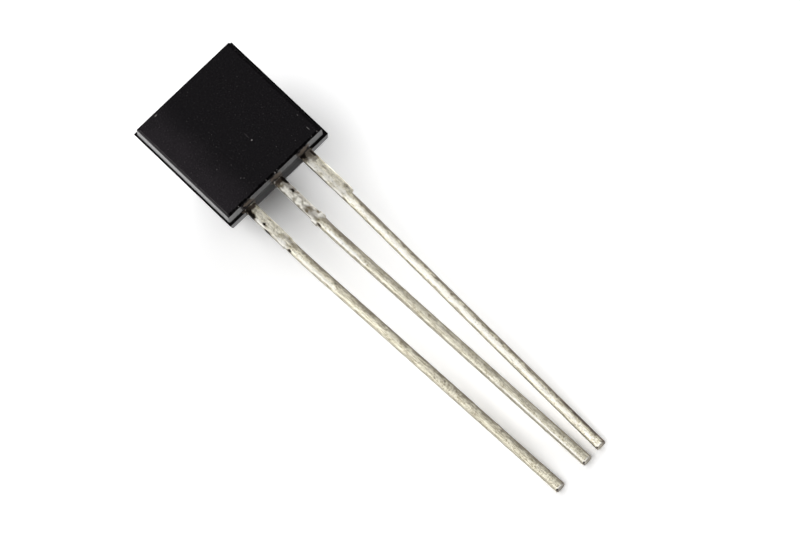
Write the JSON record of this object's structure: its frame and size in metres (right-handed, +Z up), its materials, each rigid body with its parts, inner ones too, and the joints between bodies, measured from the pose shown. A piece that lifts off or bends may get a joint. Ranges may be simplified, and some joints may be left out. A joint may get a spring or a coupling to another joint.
{
  "type": "to-92 transistor",
  "caption": "Small-signal transistor in a black moulded TO-92 case with a flat front, a round back and long tinned leads, lying face up.",
  "frame": {"origin": "on the floor under the middle of the box, with the part lying on the lead end of its round back and on its lead tips", "axes": "+X across the flat face from the collector lead to the emitter lead, +Y from the lead tips to the top of the case, +Z up, out of the flat face"},
  "size_m": [0.0045, 0.0184, 0.0041],
  "materials": {
    "epoxy": "matte black moulding compound",
    "tin_plate": "warm mottled tin plate, stained at the roots",
    "solder": "dull",
    "silicon": "polished",
    "bond_gold": "drawn wire"
  },
  "bodies": {
    "root": {"epoxy_body": "epoxy", "collector_lead": "tin_plate", "base_lead": "tin_plate", "emitter_lead": "tin_plate", "die_attach": "solder", "silicon_die": "silicon", "base_bond_wire": "bond_gold", "emitter_bond_wire": "bond_gold"}
  },
  "joints": []
}
